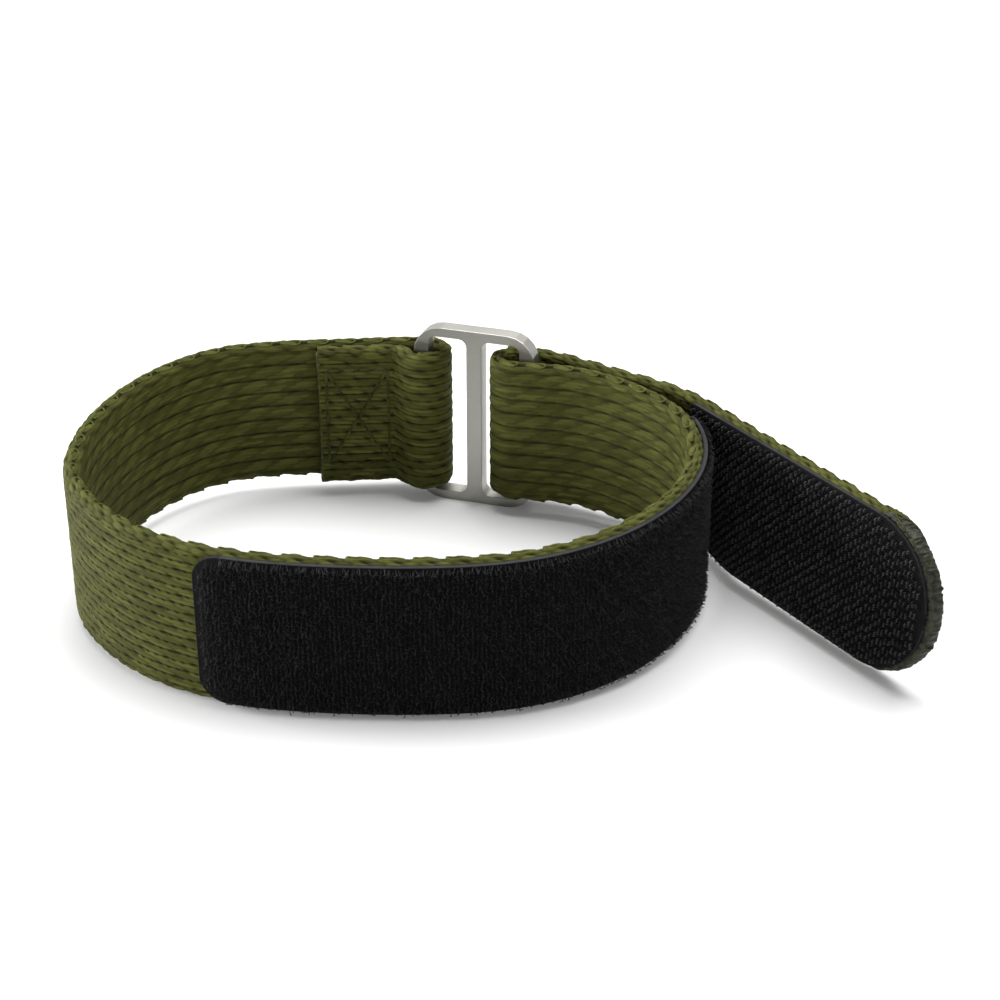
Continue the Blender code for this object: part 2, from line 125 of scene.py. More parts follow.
class Route:
    """A line in plan with normals to its right, the height of the band's lower edge, and its lean,
    which turns the band about its upper edge.
    """

    def __init__(self, points, directions, lifts):
        self.points = np.array(points)
        tangents = np.array(directions)
        self.normals = np.stack((tangents[:, 1], -tangents[:, 0]), axis=1)
        self.lifts = np.array(lifts)
        self.leans = np.zeros(len(self.points))
        steps = np.linalg.norm(np.diff(self.points, axis=0), axis=1)
        self.stations = np.concatenate(([0.0], np.cumsum(steps)))
        self.length = self.stations[-1]

    def place(self, spots):
        """World points for an array of (along, height, outward)."""
        along, height, outward = spots[:, 0], spots[:, 1], spots[:, 2]
        over = along - np.clip(along, 0.0, self.length)
        x, y = (np.interp(along, self.stations, self.points[:, k]) for k in (0, 1))
        nx, ny = (np.interp(along, self.stations, self.normals[:, k]) for k in (0, 1))
        size = np.hypot(nx, ny)
        nx, ny = nx / size, ny / size
        lift = np.interp(along, self.stations, self.lifts)
        lean = np.interp(along, self.stations, self.leans)
        aside = outward * np.cos(lean) + (BAND_WIDTH - height) * np.sin(lean)
        up = height * np.cos(lean) + outward * np.sin(lean)
        return np.stack((x + nx * aside - ny * over, y + ny * aside + nx * over, lift + up), axis=1)


def smooth_points(points, start_direction, end_direction, step):
    """Points and directions on a clamped cubic spline through the given points."""
    knots = np.array(points)
    chords = np.linalg.norm(np.diff(knots, axis=0), axis=1)
    count = len(knots)
    matrix = np.zeros((count, count))
    right_side = np.zeros((count, 2))
    matrix[0, 0] = matrix[-1, -1] = 1.0
    right_side[0] = start_direction
    right_side[-1] = end_direction
    for k in range(1, count - 1):
        before, after = chords[k - 1], chords[k]
        matrix[k, k - 1:k + 2] = (after, 2 * (before + after), before)
        right_side[k] = 3 * (after * (knots[k] - knots[k - 1]) / before
                             + before * (knots[k + 1] - knots[k]) / after)
    slopes = np.linalg.solve(matrix, right_side)
    line, directions = [], []
    for k, chord in enumerate(chords):
        parts = max(1, math.ceil(chord / step))
        for part in range(0 if k == 0 else 1, parts + 1):
            t = part / parts
            line.append((1 + 2 * t) * (1 - t) ** 2 * knots[k] + t * (1 - t) ** 2 * chord * slopes[k]
                        + t * t * (3 - 2 * t) * knots[k + 1]
                        + t * t * (t - 1) * chord * slopes[k + 1])
            slope = (6 * t * (t - 1) * (knots[k] - knots[k + 1]) / chord
                     + (1 - t) * (1 - 3 * t) * slopes[k] + t * (3 * t - 2) * slopes[k + 1])
            directions.append(slope / np.linalg.norm(slope))
    return line, directions


def arc_points(centre, radius, start_heading, turn):
    """Points and directions of an arc about a centre."""
    parts = math.ceil(abs(turn) / ARC_STEP)
    side = math.copysign(1, turn)
    directions = [heading_vector(start_heading + turn * k / parts) for k in range(parts + 1)]
    return [centre - side * radius * left_of(d) for d in directions], directions


def band_route():
    """The whole band in one route, from the cut end to the tip, and where its marks lie on it."""
    low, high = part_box("buckle_frame")
    middle = np.array(((low[0] + high[0]) / 2, (low[1] + high[1]) / 2))
    across = heading_vector(BUCKLE_YAW)
    left_bar, right_bar = middle - BAR_OFFSET * across, middle + BAR_OFFSET * across
    wrap_centre = right_bar - WRAP_SLACK * across
    run_heading = BUCKLE_YAW + RUN_ENTRY_TURN + math.pi
    run_direction = heading_vector(run_heading)
    leg_foot = wrap_centre + WRAP_RADIUS * left_of(run_direction)
    run_end = leg_foot - (WRAP_SLACK + RUN_LEG) * run_direction
    swing = right_bar + SWING_LEG * across + WRAP_RADIUS * left_of(across)

    eye, eye_directions = arc_points(left_bar, WRAP_RADIUS, TURNBACK_DIP, math.pi - TURNBACK_DIP)
    knots = [eye[-1]] + [middle + np.array((LOOP_SPAN * a, LOOP_DEPTH * b))
                         for a, b in LOOP_POINT_SHARES] + [run_end]
    outer, outer_directions = smooth_points(knots, eye_directions[-1], run_direction, FINE_STEP)
    layer = Route(outer, outer_directions, [0.0] * len(outer))
    straight = TURNBACK_LENGTH - TURNBACK_EASE
    parts = math.ceil(straight / FINE_STEP)
    inner_along = TURNBACK_LENGTH - straight * np.arange(parts + 1) / parts
    inner = layer.place(np.stack((inner_along, 0 * inner_along, 0 * inner_along - LAYER_OFFSET),
                                 axis=1))[:, :2]
    inner_directions = [left_of(-np.array([np.interp(s, layer.stations, layer.normals[:, k])
                                           for k in (0, 1)])) for s in inner_along]
    ease, ease_directions = smooth_points([inner[-1], eye[0]], inner_directions[-1],
                                          eye_directions[0], FINE_STEP)
    line = list(inner) + ease[1:] + eye[1:] + outer[1:]
    directions = inner_directions + ease_directions[1:] + eye_directions[1:] + outer_directions[1:]
    marks = {"turnback": len(inner) - 1, "eye_end": len(inner) + len(ease) + len(eye) - 3,
             "run_end": len(line) - 1}

    arc, arc_directions = arc_points(wrap_centre, WRAP_RADIUS, run_heading, BUCKLE_YAW - run_heading)
    line += arc
    directions += arc_directions
    marks["wrap_end"] = len(line) - 1

    leg = float((swing - arc[-1]) @ across)
    tail_length = TAIL_ROOT_LENGTH + TAIL_END_LENGTH
    steps = math.ceil((leg + tail_length) / FINE_STEP)
    step = (leg + tail_length) / steps
    spot = arc[-1]
    for k in range(steps):
        distance = (k + 0.5) * step - leg
        heading = BUCKLE_YAW
        for at, ease_length, turn in (
                (0.0, SWING_EASE, TAIL_ROOT_HEADING - BUCKLE_YAW),
                (TAIL_ROOT_LENGTH, BEND_EASE, TAIL_END_HEADING - TAIL_ROOT_HEADING)):
            share = min(max((distance - at + ease_length) / (2 * ease_length), 0.0), 1.0)
            heading += turn * share * share * (3 - 2 * share)
        spot = spot + step * heading_vector(heading)
        line.append(spot)
        directions.append(heading_vector(heading))
    front = middle[1] + LOOP_DEPTH * min(share[1] for share in LOOP_POINT_SHARES)
    lifts = [(LOOP_LIFT_LEFT if p[0] < middle[0] else LOOP_LIFT_RIGHT)
             * min(max((p[1] - front) / (left_bar[1] - front), 0.0), 1.0) for p in line]
    route = Route(line, directions, lifts)
    along = {name: route.stations[index] for name, index in marks.items()}
    along["swing"] = along["wrap_end"] + leg
    along["bend"] = along["swing"] + TAIL_ROOT_LENGTH
    along["tip"] = route.length
    falling = np.interp(
        route.stations, [along[name] for name in ("run_end", "swing", "bend", "tip")],
        (lifts[marks["run_end"]], TAIL_START_LIFT, TAIL_BEND_LIFT, TAIL_TIP_LIFT))
    route.lifts = np.where(route.stations > along["run_end"], falling, route.lifts)
    share = np.clip((route.stations - along["bend"] - LEAN_START) / (LEAN_END - LEAN_START), 0, 1)
    route.leans = TAIL_LEAN * share ** 2 * (3 - 2 * share)
    return route, along, middle


route, MARK, BUCKLE_MIDDLE = band_route()


# Meshes from arrays

def link_new(name, data):
    """A new object with this data, linked to the scene."""
    made = bpy.data.objects.new(name, data)
    bpy.context.scene.collection.objects.link(made)
    return made


class Pile:
    """Grids of quads with per-point values, gathered into one mesh."""

    def __init__(self):
        self.spots, self.faces, self.slots = [], [], []
        self.values = {"tone": [], "depth": [], "lap": [], "u": [], "v": []}
        self.count = 0

    def add(self, spots, faces, slot=0, **values):
        """spots (n, 3) in band coordinates, faces (m, 4) counted from 0."""
        self.spots.append(spots)
        self.faces.append(faces + self.count)
        self.slots.append(np.broadcast_to(slot, len(faces)))
        for key, table in self.values.items():
            table.append(np.broadcast_to(values.get(key, 0.5), (len(spots),)).astype(float))
        self.count += len(spots)

    def build(self, name, materials, place):
        spots = place(np.concatenate(self.spots))
        faces = np.concatenate(self.faces)
        mesh = bpy.data.meshes.new(name)
        mesh.vertices.add(len(spots))
        mesh.vertices.foreach_set("co", spots.ravel())
        mesh.loops.add(faces.size)
        mesh.loops.foreach_set("vertex_index", faces.ravel())
        mesh.polygons.add(len(faces))
        mesh.polygons.foreach_set("loop_start", np.arange(len(faces)) * 4)
        mesh.polygons.foreach_set("loop_total", np.full(len(faces), 4))
        mesh.update(calc_edges=True)
        mesh.polygons.foreach_set("material_index", np.concatenate(self.slots).astype(np.int32))
        values = {key: np.concatenate(table) for key, table in self.values.items()}
        for key in ("tone", "depth", "lap"):
            attribute = mesh.attributes.new(key, "FLOAT", "POINT")
            attribute.data.foreach_set("value", values[key].astype(np.float32))
        uv = mesh.uv_layers.new(name="yarn")
        flat = np.stack((values["u"], values["v"]), axis=1)[faces.ravel()]
        uv.data.foreach_set("uv", flat.ravel().astype(np.float32))
        mesh.shade_smooth()
        for material in materials:
            mesh.materials.append(material)
        return link_new(name, mesh)


def grid_faces(rows, columns, closed=False):
    """Quads of a grid of points; closed joins the last column to the first."""
    r = np.arange(rows - 1)[:, None]
    c = np.arange(columns if closed else columns - 1)[None, :]
    d = (c + 1) % columns
    return np.stack((r * columns + c, r * columns + d, (r + 1) * columns + d,
                     (r + 1) * columns + c), axis=-1).reshape(-1, 4)


def many(faces, count, size):
    """The same faces for a number of equal blocks of points."""
    return (faces[None] + np.arange(count)[:, None, None] * size).reshape(-1, 4)


def tubes(paths, radius, sides, side_vectors):
    """Points (count * length * sides, 3) and faces of open tubes round paths (count, length, 3)."""
    count, length, _ = paths.shape
    tangents = np.gradient(paths, axis=1)
    tangents /= np.linalg.norm(tangents, axis=2, keepdims=True) + 1e-12
    first = np.cross(tangents, side_vectors[:, None, :])
    first /= np.linalg.norm(first, axis=2, keepdims=True) + 1e-12
    second = np.cross(tangents, first)
    angles = np.arange(sides) * 2 * math.pi / sides
    ring = (first[:, :, None, :] * np.cos(angles)[None, None, :, None]
            + second[:, :, None, :] * np.sin(angles)[None, None, :, None])
    thick = radius if np.ndim(radius) == 0 else radius[..., None, None]
    spots = (paths[:, :, None, :] + ring * thick).reshape(-1, 3)
    return spots, many(grid_faces(length, sides, closed=True), count, length * sides)


# Woven band: a closed strip with a relief of overlapping floats of yarn

# Half the thickness of the strip under its yarns, and how far its long edges are drawn in
CORE = 0.79 * MM
EDGE_SINK = 0.12 * MM
# The lap runs round the band's section: STRAIGHT to each side of a face's middle, then round the edge
STRAIGHT = BAND_WIDTH / 2 - HALF_BAND
FACE_LAP = 2 * STRAIGHT + math.pi * CORE
# One repeat of the weave, and the bulge of the edges in it, which is shifted between the two edges
FLOAT_PITCH = 3.7 * MM
TWIST_PITCH = FLOAT_PITCH / 3
SCALLOP_HEIGHT = 0.10 * MM
SCALLOP_MEAN = 0.3
SCALLOP_SHIFT = 1.7 * MM
# Strands of one rib of each face: count, spacing, half width, length in repeats, and slant
OUTER_RIBS, INNER_RIBS = 16, 9
OUTER_STRANDS = (2, 0.50 * MM, 0.30 * MM, 1.12, -0.05)
INNER_STRANDS = (4, 0.46 * MM, 0.31 * MM, 1.30, 0.055)
YARN_RISE = 0.30 * MM
SIDE_STRAND_HEIGHT = 0.86
# Rows of floats round an edge, from the outer face to the inner one: place as a share of the turn,
# half width in mm, length in repeats, slant, start in repeats, and height as a share of YARN_RISE
EDGE_FLOATS = (
    (0.02, 0.32, 1.20, -0.04, 0.40, 1.05), (0.18, 0.34, 0.78, -0.12, 0.92, 1.40),
    (0.24, 0.30, 0.72, -0.08, 0.42, 1.30), (0.42, 0.37, 0.80, -0.15, 0.62, 1.50),
    (0.45, 0.33, 0.72, -0.10, 1.14, 1.40), (0.65, 0.38, 0.80, -0.16, 0.85, 1.50),
    (0.82, 0.34, 1.30, -0.06, 0.75, 1.10), (0.97, 0.32, 1.20, 0.04, 0.50, 1.05),
)
# How far a float strays aside, narrows at its ends, varies in height, and is split along an edge; the
# split also darkens the colour as painted shade
FLOAT_WANDER = 0.05 * MM
FACE_TAPER, EDGE_TAPER = 0.30, 0.50
LOWEST_FLOAT, FLOAT_SPREAD = 0.92, 0.16
GROOVE_DEPTH, GROOVE_WIDTH = 0.28, 0.20
FLOOR_TONE = 0.4
# The ridge under the strands, and the floor between the floats of an edge, as shares of YARN_RISE; the
# same shares set the painted shade there
RIDGE = 0.72
OUTER_RIDGE_WIDTH, INNER_RIDGE_WIDTH = 0.84, 0.97
EDGE_FLOOR, INNER_EDGE_FLOOR, INNER_EDGE_START = 0.10, 0.62, 0.70
# The chain of thin yarn along the edges; NO_PITS is a lap on neither face
LINK_PLACE, LINK_PHASE, LINK_PINCH = 0.58, 0.35, 0.62
LINK_REACH, LINK_HALF_WIDTH, LINK_RADIUS = 0.33 * FLOAT_PITCH, 0.36 * MM, 0.14 * MM
LINK_LUCK, LINK_LIFT, LINK_SLOPE = 0.04, 0.20 * MM, 0.10 * MM
LINK_POINTS, LINK_SIDES = 25, 7
NO_PITS = 99.0
# Fineness of the strip's mesh
ALONG_STEP = 0.24 * MM
OUTER_COLUMNS, INNER_COLUMNS, EDGE_COLUMNS = 161, 109, 25


def scallop(along):
    """How far the band's edge bulges along its length, from 0 to 1."""
    share = np.mod(along / FLOAT_PITCH, 1.0)
    return np.sin(math.pi * share) ** 2


def on_band(along, lap, rise):
    """Band coordinates of a point: lap runs round the section from the outer face's middle."""
    lap = np.mod(lap + STRAIGHT, 2 * FACE_LAP)
    leg = np.floor(lap / FACE_LAP)
    lap = lap - leg * FACE_LAP
    angle = np.clip((lap - 2 * STRAIGHT) / CORE, 0.0, math.pi)
    level = np.minimum(lap, 2 * STRAIGHT) - STRAIGHT
    side = 1 - 2 * leg
    bulge = SCALLOP_HEIGHT * np.sin(angle) ** 2 * (scallop(along + leg * SCALLOP_SHIFT)
                                                   - SCALLOP_MEAN)
    reach = CORE + rise + bulge - EDGE_SINK * np.sin(angle)
    return np.stack((along, BAND_WIDTH / 2 + side * (level + np.sin(angle) * reach),
                     side * np.cos(angle) * reach), axis=-1)


def yarn_rows():
    """Each row of floats: lap, phase, half width, length in repeats, slant, height, and on an edge."""
    rows = []
    for face, strands, phases, heights in (
            (0, OUTER_STRANDS, [k * TWIST_PITCH for k in range(OUTER_RIBS)], (1.0, 1.0)),
            (1, INNER_STRANDS, [k % 2 * FLOAT_PITCH / 2 for k in range(INNER_RIBS)],
             (SIDE_STRAND_HEIGHT, 1.0, 1.0, SIDE_STRAND_HEIGHT))):
        count, spacing, half, length, slant = strands
        width = 2 * STRAIGHT / len(phases)
        for rib, phase in enumerate(phases):
            for strand in range(count):
                lap = (face * FACE_LAP - STRAIGHT + (rib + 0.5) * width
                       + (strand - (count - 1) / 2) * spacing)
                rows.append((lap, phase + strand * FLOAT_PITCH / count, half, length, slant,
                             YARN_RISE * heights[strand], False))
    for side in (0, 1):
        for share, half, length, slant, phase, height in EDGE_FLOATS:
            turn = share if side == 0 else 1 - share
            rows.append((side * FACE_LAP + STRAIGHT + turn * math.pi * CORE, phase * FLOAT_PITCH,
                         half * MM, length, slant if side == 0 else -slant, height * YARN_RISE, True))
    return rows


def rib_floor(laps):
    """The low ridge under the strands of each rib, as a share of the yarns' height."""
    lap = np.mod(laps + STRAIGHT, 2 * FACE_LAP)
    inner = lap >= FACE_LAP
    lap = np.where(inner, lap - FACE_LAP, lap)
    width = 2 * STRAIGHT / np.where(inner, INNER_RIBS, OUTER_RIBS)
    across = 2 * np.mod(lap / width, 1.0) - 1
    across = across / np.where(inner, INNER_RIDGE_WIDTH, OUTER_RIDGE_WIDTH)
    ridge = RIDGE * np.sqrt(np.maximum(1 - across ** 2, 0))
    share = (lap - 2 * STRAIGHT) / (math.pi * CORE)
    share = np.where(inner, 1 - share, share)
    edge = np.where(share > INNER_EDGE_START, INNER_EDGE_FLOOR, EDGE_FLOOR)
    return np.where(lap < 2 * STRAIGHT, ridge, edge)


def chance(a, b):
    """A fixed value from 0 to 1 for a pair of whole numbers."""
    value = np.sin(a * 12.9898 + b * 78.233) * 43758.5453
    return value - np.floor(value)


def add_webbing(pile, start, end):
    """The woven strip between two distances along the band.

    Each point takes the highest float over it; u runs along a float and w across it, from -1 to 1.
    """
    rows = max(2, math.ceil((end - start) / ALONG_STEP) + 1)
    along = np.linspace(start, end, rows)[:, None]
    outer = np.linspace(-STRAIGHT, STRAIGHT, OUTER_COLUMNS)
    inner = np.linspace(-STRAIGHT, STRAIGHT, INNER_COLUMNS) + FACE_LAP
    edge = STRAIGHT + math.pi * CORE * np.arange(1, EDGE_COLUMNS + 1) / (EDGE_COLUMNS + 1)
    laps = np.concatenate((outer, edge, inner, edge + FACE_LAP))[None, :]
    columns = laps.shape[1]
    # depth, the share of the yarns' height at each point, is darkened as painted shade by the yarn
    # material where it is low
    depth = rib_floor(laps) + 0 * along
    height = YARN_RISE * depth
    tone = np.full((rows, columns), FLOOR_TONE)
    strand_v = laps / MM + 0 * along
    for index, (lap, phase, half, length, slant, tall, on_edge) in enumerate(yarn_rows()):
        offset = np.mod(laps - lap + FACE_LAP, 2 * FACE_LAP) - FACE_LAP
        reach = half + abs(slant) * length * FLOAT_PITCH / 2 + 2 * FLOAT_WANDER
        near = np.nonzero(np.abs(offset[0]) < reach)[0]
        share = (along - phase) / FLOAT_PITCH
        for step in (-1, 0, 1):
            number = np.floor(share) + step
            u = (share - number - 0.5) / (length / 2)
            u_held = np.clip(u, -1, 1)
            luck = chance(number, index)
            centre = slant * u_held * length * FLOAT_PITCH / 2 + (luck - 0.5) * FLOAT_WANDER
            narrow = EDGE_TAPER * u_held ** 2 if on_edge else FACE_TAPER * u_held ** 4
            w = (offset[:, near] - centre) / (half * (1 - narrow))
            dome = np.sqrt(np.maximum(1 - w * w, 0))
            if on_edge:
                dome = (dome * (1 - u_held ** 2) ** 0.8
                        * (1 - GROOVE_DEPTH * np.exp(-(w / GROOVE_WIDTH) ** 2)))
            else:
                dome = dome * np.sqrt(1 - np.abs(u_held) ** 3)
            found = tall * dome * (LOWEST_FLOAT + FLOAT_SPREAD * chance(index, number))
            found = found * (np.abs(u) < 1)
            better = found > height[:, near]
            for table, value in ((height, found), (tone, luck + 0 * w), (depth, dome),
                                 (strand_v, (w * half / MM + 2.7 * index) + 0 * found)):
                block = table[:, near]
                block[better] = value[better]
                table[:, near] = block
    spots = on_band(along + 0 * laps, laps + 0 * along, height).reshape(-1, 3)
    pile.add(spots, grid_faces(rows, columns, closed=True), 0, tone=tone.ravel(),
             depth=depth.ravel(), lap=(laps / MM + 0 * along).ravel(),
             u=(along / MM + 0 * laps).ravel(), v=strand_v.ravel())


def add_links(pile, start, end):
    """The chain of thin yarn along both edges: in each repeat one link, pinched and low at one end."""
    turn = np.linspace(0, 2 * math.pi, LINK_POINTS)
    first = math.floor(start / FLOAT_PITCH)
    count = math.ceil((end - start) / FLOAT_PITCH) + 2
    middles = (first + np.arange(count) + LINK_PHASE) * FLOAT_PITCH
    middles = middles[(middles > start) & (middles <= end)]
    if not len(middles):
        return
    for side in (0, 1):
        share = LINK_PLACE if side == 0 else 1 - LINK_PLACE
        luck = chance(np.round(middles / FLOAT_PITCH), side)[:, None]
        along = middles[:, None] + (LINK_REACH + LINK_LUCK * luck * FLOAT_PITCH) * np.cos(turn)[None]
        aside = LINK_HALF_WIDTH * np.sin(turn) * (1 - LINK_PINCH * np.cos(turn))
        lap = side * FACE_LAP + STRAIGHT + share * math.pi * CORE + aside[None] + 0 * along
        high = LINK_LIFT + LINK_LUCK * luck * MM - LINK_SLOPE * np.cos(turn)[None]
        points, faces = tubes(on_band(along, lap, high), LINK_RADIUS, LINK_SIDES,
                              np.tile((0.31, 0.52, 0.79), (len(middles), 1)))
        pile.add(points, faces, 0, tone=np.repeat(0.5 + 0.5 * luck.ravel(), LINK_POINTS * LINK_SIDES),
                 depth=1.0, lap=NO_PITS, u=points[:, 0] / MM,
                 v=np.tile(np.arange(LINK_SIDES) / LINK_SIDES, len(points) // LINK_SIDES))


# Pads, hooks, stitches and the sealed ends

MIDDLE_HEIGHT = BAND_WIDTH / 2
# A pad's base: the step along it, the rounding of its rims and the height of its ends' first step
SLAB_STEP, SLAB_ROUND, SLAB_END_SHARE = 0.9 * MM, 0.10 * MM, 0.35
SLAB_COLUMNS, CORNER_POINTS = 19, 13
# Loops of fibre: spread of their headings and leans, smallest height and span, and how these vary
FIBRE_TURN, FIBRE_LEAN = 0.38, 0.15 * MM
FIBRE_HEIGHT, FIBRE_HEIGHT_SPREAD = 0.65, 0.5
FIBRE_SPAN, FIBRE_SPAN_SPREAD = 0.6, 0.8
FIBRE_POINTS, FIBRE_SIDES = 6, 3
# Hooks: the stem's height and its share of the length, the curl's radius and turn, and the jitter
HOOK_STEM, STEM_SHARE = 0.42 * MM, 0.35
HOOK_CURL, HOOK_TURN = 0.15 * MM, 1.25 * math.pi
HOOK_FOOT_RADIUS, HOOK_THINNING = 0.095 * MM, 0.010 * MM
HOOK_JITTER = 0.05 * MM
HOOK_POINTS, HOOK_SIDES = 8, 5
# Stitches: their pitch, the bow of their middles over the webbing, and how deep their ends sink
STITCH_PITCH, STITCH_BOW, STITCH_SINK = 2.1 * MM, 0.20 * MM, 0.12 * MM
STITCH_END_RADIUS, STITCH_SWELL = 0.10 * MM, 0.13 * MM
STITCH_POINTS, STITCH_SIDES, STITCH_MARGIN = 7, 8, 0.04
BEAD_STEP, BEAD_SIDES = 0.11 * MM, 22


def slab(pile, start, end, radii, low, high):
    """A closed plate as wide as a pad, in band coordinates, with a corner radius for each end.

    Its cut sides take the second material.
    """
    quarter = np.linspace(0, math.pi / 2, CORNER_POINTS)
    (first, first_trim), (last, last_trim) = (
        (spot + sign * radius * (1 - np.cos(quarter)), radius * (1 - np.sin(quarter)))
        for radius, sign, spot in ((radii[0], 1, start), (radii[1], -1, end)))
    inside = np.arange(start + radii[0] + SLAB_STEP, end - radii[1] - SLAB_STEP / 2, SLAB_STEP)
    along = np.concatenate((first[:1], first, inside, last[::-1], last[:1]))
    trim = np.concatenate((first_trim[:1], first_trim, 0 * inside, last_trim[::-1], last_trim[:1]))
    half = np.maximum(PAD_WIDTH / 2 - trim, 0.02 * MM)
    side = [(0.0, low), (0.0, high - SLAB_ROUND), (0.3, high - 0.3 * SLAB_ROUND)]
    columns = [(-1.0, inset, out) for inset, out in side]
    columns += [(share, 1.0 if abs(share) == 1 else 0.0, high)
                for share in np.linspace(-1, 1, SLAB_COLUMNS)]
    columns += [(1.0, inset, out) for inset, out in side[::-1]]
    near = np.minimum(np.abs(along - start), np.abs(end - along))
    edge = np.clip(near / SLAB_ROUND, 0, 1)
    heights, outs = [], []
    for share, inset, out in columns:
        heights.append(MIDDLE_HEIGHT + share * np.maximum(half - SLAB_ROUND * inset, 0.01 * MM))
        reach = np.full(len(along), out)
        reach[0] = reach[-1] = low
        outs.append(low + (reach - low) * np.where(
            reach > low, SLAB_END_SHARE + (1 - SLAB_END_SHARE) * np.sqrt(edge * (2 - edge)), 1.0))
    spots = np.stack((np.repeat(along[:, None], len(columns), axis=1), np.array(heights).T,
                      np.array(outs).T), axis=-1)
    slots = np.zeros((len(along) - 1, len(columns)), dtype=int)
    slots[:, [0, 1, -3, -2]] = 1
    pile.add(spots.reshape(-1, 3), grid_faces(len(along), len(columns), closed=True), slots.ravel(),
             depth=0.6, u=spots[:, :, 0].ravel() / MM, v=spots[:, :, 1].ravel() / MM)


def inside_pad(spots, start, end, radii, inset):
    """The spots that lie inside a pad's rounded outline by a margin."""
    along, height = spots[:, 0], spots[:, 1]
    half = np.full(len(along), PAD_WIDTH / 2 - inset)
    for radius, near in ((radii[0], along - start), (radii[1], end - along)):
        reach = np.clip(near, 0, radius)
        trim = radius - np.sqrt(np.maximum(radius ** 2 - (radius - reach) ** 2, 0))
        half = np.minimum(half, PAD_WIDTH / 2 - trim - inset)
    return spots[(np.abs(height - MIDDLE_HEIGHT) < half) & (along > start + inset)
                 & (along < end - inset)]


def loop_fibres(pile, spots, tall, radius, painted_highlight=0.0):
    """Small curled loops of fibre standing on the given spots (n, 2) of the loop pad."""
    count = len(spots)
    turn = rng.normal(math.pi / 2, FIBRE_TURN, count) + math.pi * rng.integers(0, 2, count)
    size = tall * (FIBRE_HEIGHT + FIBRE_HEIGHT_SPREAD * rng.random(count))
    span = size * (FIBRE_SPAN + FIBRE_SPAN_SPREAD * rng.random(count))
    t = np.linspace(0, 1, FIBRE_POINTS)[None, :]
    out = size[:, None] * np.sin(math.pi * (0.08 + 0.80 * t))
    run = span[:, None] * (t - 0.5 + 0.25 * np.sin(2 * math.pi * t))
    lean = (FIBRE_LEAN * rng.standard_normal(count))[:, None] * np.sin(math.pi * t)
    paths = np.stack((spots[:, :1] + np.cos(turn)[:, None] * run - np.sin(turn)[:, None] * lean,
                      spots[:, 1:2] + np.sin(turn)[:, None] * run + np.cos(turn)[:, None] * lean,
                      PAD_FOOT + out), axis=-1)
    sides = np.stack((np.cos(turn + 0.6), np.sin(turn + 0.6), 0 * turn + 0.2), axis=1)
    points, faces = tubes(paths, radius, FIBRE_SIDES, sides)
    # The last argument raises the lowest tone: a painted highlight on brighter fibres
    tone = painted_highlight + (1 - painted_highlight) * rng.random(count)
    # depth, from 0 at the foot up, gives painted shade at the fibres' feet
    pile.add(points, faces, 0, tone=np.repeat(tone, FIBRE_POINTS * FIBRE_SIDES),
             depth=np.clip((points[:, 2] - PAD_FOOT) / tall, 0, 1))


def hooks(pile, spots):
    """Moulded hooks on the given spots of the hook pad: a stem that curls over at its top."""
    count = len(spots)
    side = np.where(np.arange(count) % 2, 1.0, -1.0)[:, None]
    t = np.linspace(0, 1, HOOK_POINTS)[None, :]
    curl = np.clip((t - STEM_SHARE) / (1 - STEM_SHARE), 0, 1) * HOOK_TURN
    run = 1.1 * side * HOOK_CURL * (1 - np.cos(curl))
    out = np.minimum(t / STEM_SHARE, 1) * HOOK_STEM + 1.2 * HOOK_CURL * np.sin(curl)
    jitter = HOOK_JITTER * rng.standard_normal((count, 2))
    paths = np.stack((spots[:, :1] + jitter[:, :1] + 0 * run, spots[:, 1:2] + jitter[:, 1:] + run,
                      PAD_FOOT + out + 0 * run), axis=-1)
    thick = HOOK_FOOT_RADIUS - HOOK_THINNING * t + 0 * run
    points, faces = tubes(paths, thick, HOOK_SIDES, np.tile((0.0, 1.0, 0.2), (count, 1)))
    # depth, from 0 at the foot up, gives the hooks painted shade at their feet
    pile.add(points, faces, 1, tone=np.repeat(rng.random(count), HOOK_POINTS * HOOK_SIDES),
             depth=np.clip((points[:, 2] - PAD_FOOT) / (0.6 * MM), 0, 1))


def stitches(pile, lines, outward, sign):
    """Stitches along lines between two (along, height) points, lying on a face of the band."""
    for (x0, y0), (x1, y1) in lines:
        count = max(1, round(math.hypot(x1 - x0, y1 - y0) / STITCH_PITCH))
        share = np.linspace(STITCH_MARGIN, 1 - STITCH_MARGIN, STITCH_POINTS)
        t = (np.arange(count)[:, None] + share[None, :]) / count
        bow = np.sin(math.pi * np.linspace(0.0, 1.0, STITCH_POINTS))[None, :]
        paths = np.stack((x0 + (x1 - x0) * t, y0 + (y1 - y0) * t,
                          outward + sign * (STITCH_BOW * bow - STITCH_SINK) + 0 * t), axis=-1)
        thick = STITCH_END_RADIUS + STITCH_SWELL * bow + 0 * t
        points, faces = tubes(paths, thick, STITCH_SIDES, np.tile((0.0, 0.0, 1.0), (count, 1)))
        # depth is low at the stitch ends, where they sink into the webbing: painted shade there in the
        # thread material
        depth = np.clip(0.4 + 0.6 * bow.repeat(count, 0), 0, 1).repeat(STITCH_SIDES, 1)
        pile.add(points, faces, 0, tone=np.repeat(rng.random(count), STITCH_POINTS * STITCH_SIDES),
                 depth=depth.ravel(), u=points[:, 0] / MM, v=points[:, 1] / MM)


